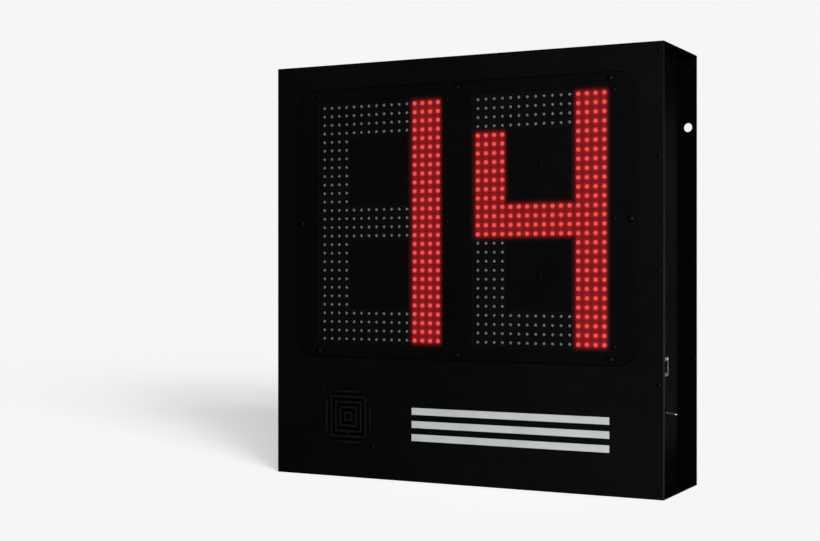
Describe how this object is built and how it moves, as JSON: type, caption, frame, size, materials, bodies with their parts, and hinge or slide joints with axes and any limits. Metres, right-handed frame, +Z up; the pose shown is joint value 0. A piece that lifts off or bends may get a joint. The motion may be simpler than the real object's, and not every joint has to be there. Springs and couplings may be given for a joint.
{
  "type": "led digit display cabinet",
  "caption": "Square black metal cabinet with large figure-eight LED digits, a sounder behind a round guard, open side channels with hanging holes, and a side toggle switch.",
  "frame": {"origin": "middle of the cabinet's underside", "axes": "+Z up, +X to the display's right as seen from the front, the display faces -Y"},
  "size_m": [0.612, 0.156, 0.612],
  "materials": {
    "cabinet_black": "fine satin powder coat",
    "channel_black": "fine satin powder coat",
    "plate_black": "smooth satin black",
    "gasket_rubber": "matt closed-cell strip",
    "rivet_metal": "dull plated",
    "black_rivet": "black painted",
    "screw_steel": "dark zinc",
    "stripe_vinyl": "printed light grey film",
    "mask_plastic": "matt black sheet",
    "circuit_board": "green solder mask",
    "led_lit": "glowing red resin",
    "led_unlit": "clear grey resin",
    "chip_black": "moulded",
    "guard_plastic": "moulded black",
    "sounder_metal": "black stove enamel",
    "cone_paper": "coated paper",
    "copper": "enamelled winding",
    "contact_brass": "tinned brass",
    "nickel": "bright nickel plate",
    "insert_plastic": "moulded black",
    "switch_plastic": "moulded",
    "nut_black": "black oxide",
    "pin_steel": "ground",
    "capacitor_sleeve": "sleeved can",
    "terminal_plastic": "moulded green",
    "converter_metal": "folded plate",
    "ribbon_grey": "flat cable",
    "loom_black": "sheathed cable",
    "lead_red": "insulated leads"
  },
  "bodies": {
    "cabinet": {"front_panel": "cabinet_black", "back_panel": "cabinet_black", "top_plate": "cabinet_black", "bottom_plate": "cabinet_black", "left_channel": "channel_black", "right_channel": "channel_black", "end_tabs": "channel_black", "face_plate": "plate_black", "window_squares": "plate_black", "face_gasket": "gasket_rubber", "front_rivets": "rivet_metal", "digit_rivets": "rivet_metal", "board_spacers": "rivet_metal", "board_standoffs": "rivet_metal", "back_rivets": "black_rivet", "end_rivets": "black_rivet", "face_screws": "screw_steel", "sounder_screws": "screw_steel", "face_nuts": "screw_steel", "sounder_nuts": "screw_steel", "connector_nuts": "screw_steel", "connector_screws": "screw_steel", "board_screws": "screw_steel", "front_stripes": "stripe_vinyl", "left_mask": "mask_plastic", "right_mask": "mask_plastic", "left_board": "circuit_board", "right_board": "circuit_board", "control_board": "circuit_board", "left_leds_lit": "led_lit", "right_leds_lit": "led_lit", "left_leds_unlit": "led_unlit", "right_leds_unlit": "led_unlit", "driver_chips": "chip_black", "ribbon_headers": "chip_black", "board_chips": "chip_black", "sounder_guard": "guard_plastic", "sounder_frame": "sounder_metal", "sounder_magnet": "sounder_metal", "sounder_cone": "cone_paper", "sounder_cap": "cone_paper", "sounder_coil": "copper", "sounder_terminals": "contact_brass", "connector_contacts": "contact_brass", "switch_terminals": "contact_brass", "connector_shell": "nickel", "switch_bushing": "nickel", "switch_washer": "nickel", "connector_insert": "insert_plastic", "switch_case": "switch_plastic", "switch_nut": "nut_black", "board_capacitors": "capacitor_sleeve", "terminal_block": "terminal_plastic", "power_converter": "converter_metal", "digit_ribbons": "ribbon_grey", "connector_loom": "loom_black", "switch_leads": "lead_red", "sounder_leads": "lead_red"},
    "lever": {"switch_lever": "nickel", "switch_pin": "pin_steel"}
  },
  "joints": [
    {"name": "switch_throw", "type": "hinge", "parent": "cabinet", "child": "lever", "pos_m": [0.282, 0.004, 0.1085], "axis": [0, -1, 0], "range_deg": [0, 12]}
  ]
}
